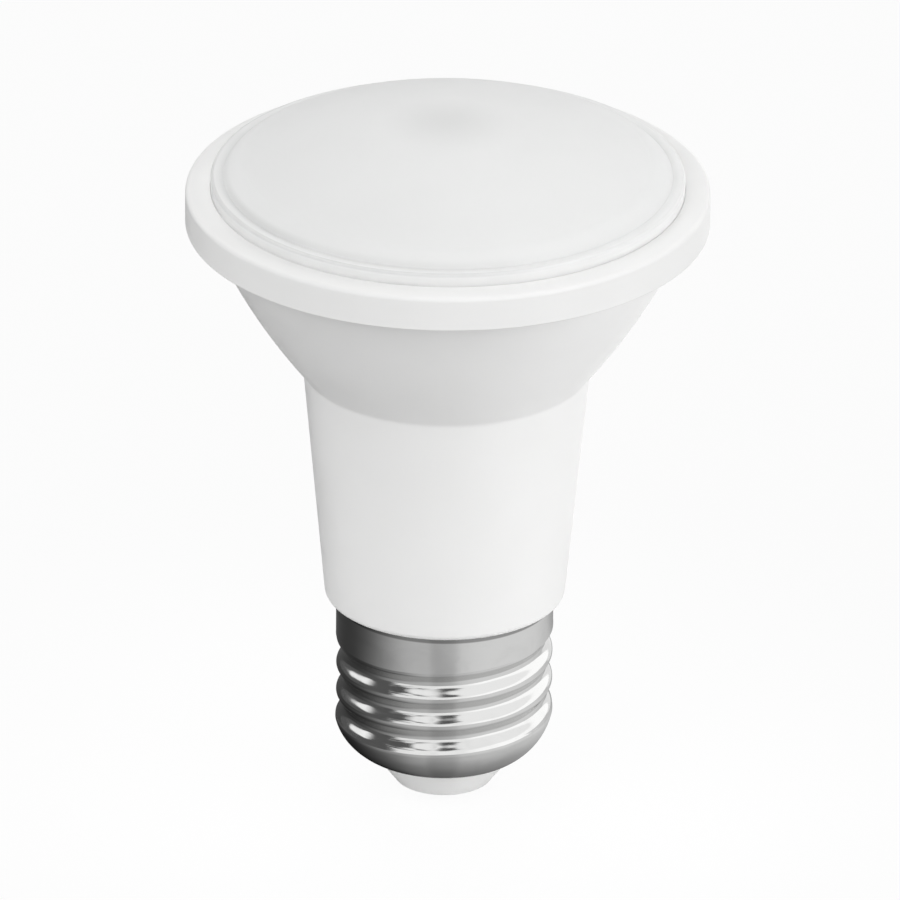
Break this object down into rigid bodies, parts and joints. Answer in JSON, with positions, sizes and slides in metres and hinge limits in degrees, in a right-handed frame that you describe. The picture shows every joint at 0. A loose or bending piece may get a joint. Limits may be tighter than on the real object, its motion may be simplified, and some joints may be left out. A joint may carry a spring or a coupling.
{
  "type": "reflector lamp",
  "caption": "LED reflector lamp with a frosted domed lens, a white flared housing with a rim ring, and a plated screw cap with a rolled thread.",
  "frame": {"origin": "tip of the centre contact, on the lamp's axis", "axes": "+Z along the lamp's axis from the cap towards the lens; -Y faces the picture's camera"},
  "size_m": [0.0635, 0.0634, 0.0884],
  "materials": {
    "lens_frosted": "frosted translucent diffuser plastic, satin",
    "white_plastic": "white moulded plastic, satin",
    "nickel_plate": "bright nickel-plated sheet metal",
    "cap_plastic": "white moulded insulator",
    "contact_metal": "plated brass contact, worn bright",
    "bare_aluminium": "spun sheet aluminium, unpainted",
    "white_mask": "aluminium board with white solder mask",
    "led_package": "white package with yellow phosphor window",
    "circuit_board": "glass-fibre board with green solder mask",
    "can_sleeve": "shrink sleeve on an aluminium can",
    "component_black": "black moulded compound",
    "bobbin_plastic": "black moulded bobbin frame",
    "ferrite": "dark sintered ferrite",
    "copper_wire": "enamelled copper wire under tape",
    "resistor_coat": "lacquer-coated resistor body",
    "tinned_wire": "tinned stiff wire"
  },
  "bodies": {
    "root": {"lens": "lens_frosted", "bezel_ring": "white_plastic", "housing": "white_plastic", "screw_shell": "nickel_plate", "cap_insulator": "cap_plastic", "centre_contact": "contact_metal", "heat_sink": "bare_aluminium", "led_board": "white_mask", "driver_board": "circuit_board", "input_capacitor": "can_sleeve", "output_capacitor": "can_sleeve", "line_choke": "component_black", "transformer_foot": "bobbin_plastic", "transformer_core": "ferrite", "transformer_winding": "copper_wire", "bridge_rectifier": "component_black", "driver_chip": "component_black", "output_diode": "component_black", "fuse_resistor": "resistor_coat", "live_lead": "tinned_wire", "neutral_lead": "tinned_wire", "led_lead_negative": "tinned_wire", "led_lead_positive": "tinned_wire", "led_01": "led_package", "led_02": "led_package", "led_03": "led_package", "led_04": "led_package", "led_05": "led_package", "led_06": "led_package", "led_07": "led_package", "led_08": "led_package", "led_09": "led_package", "led_10": "led_package", "led_11": "led_package", "led_12": "led_package"}
  },
  "joints": []
}
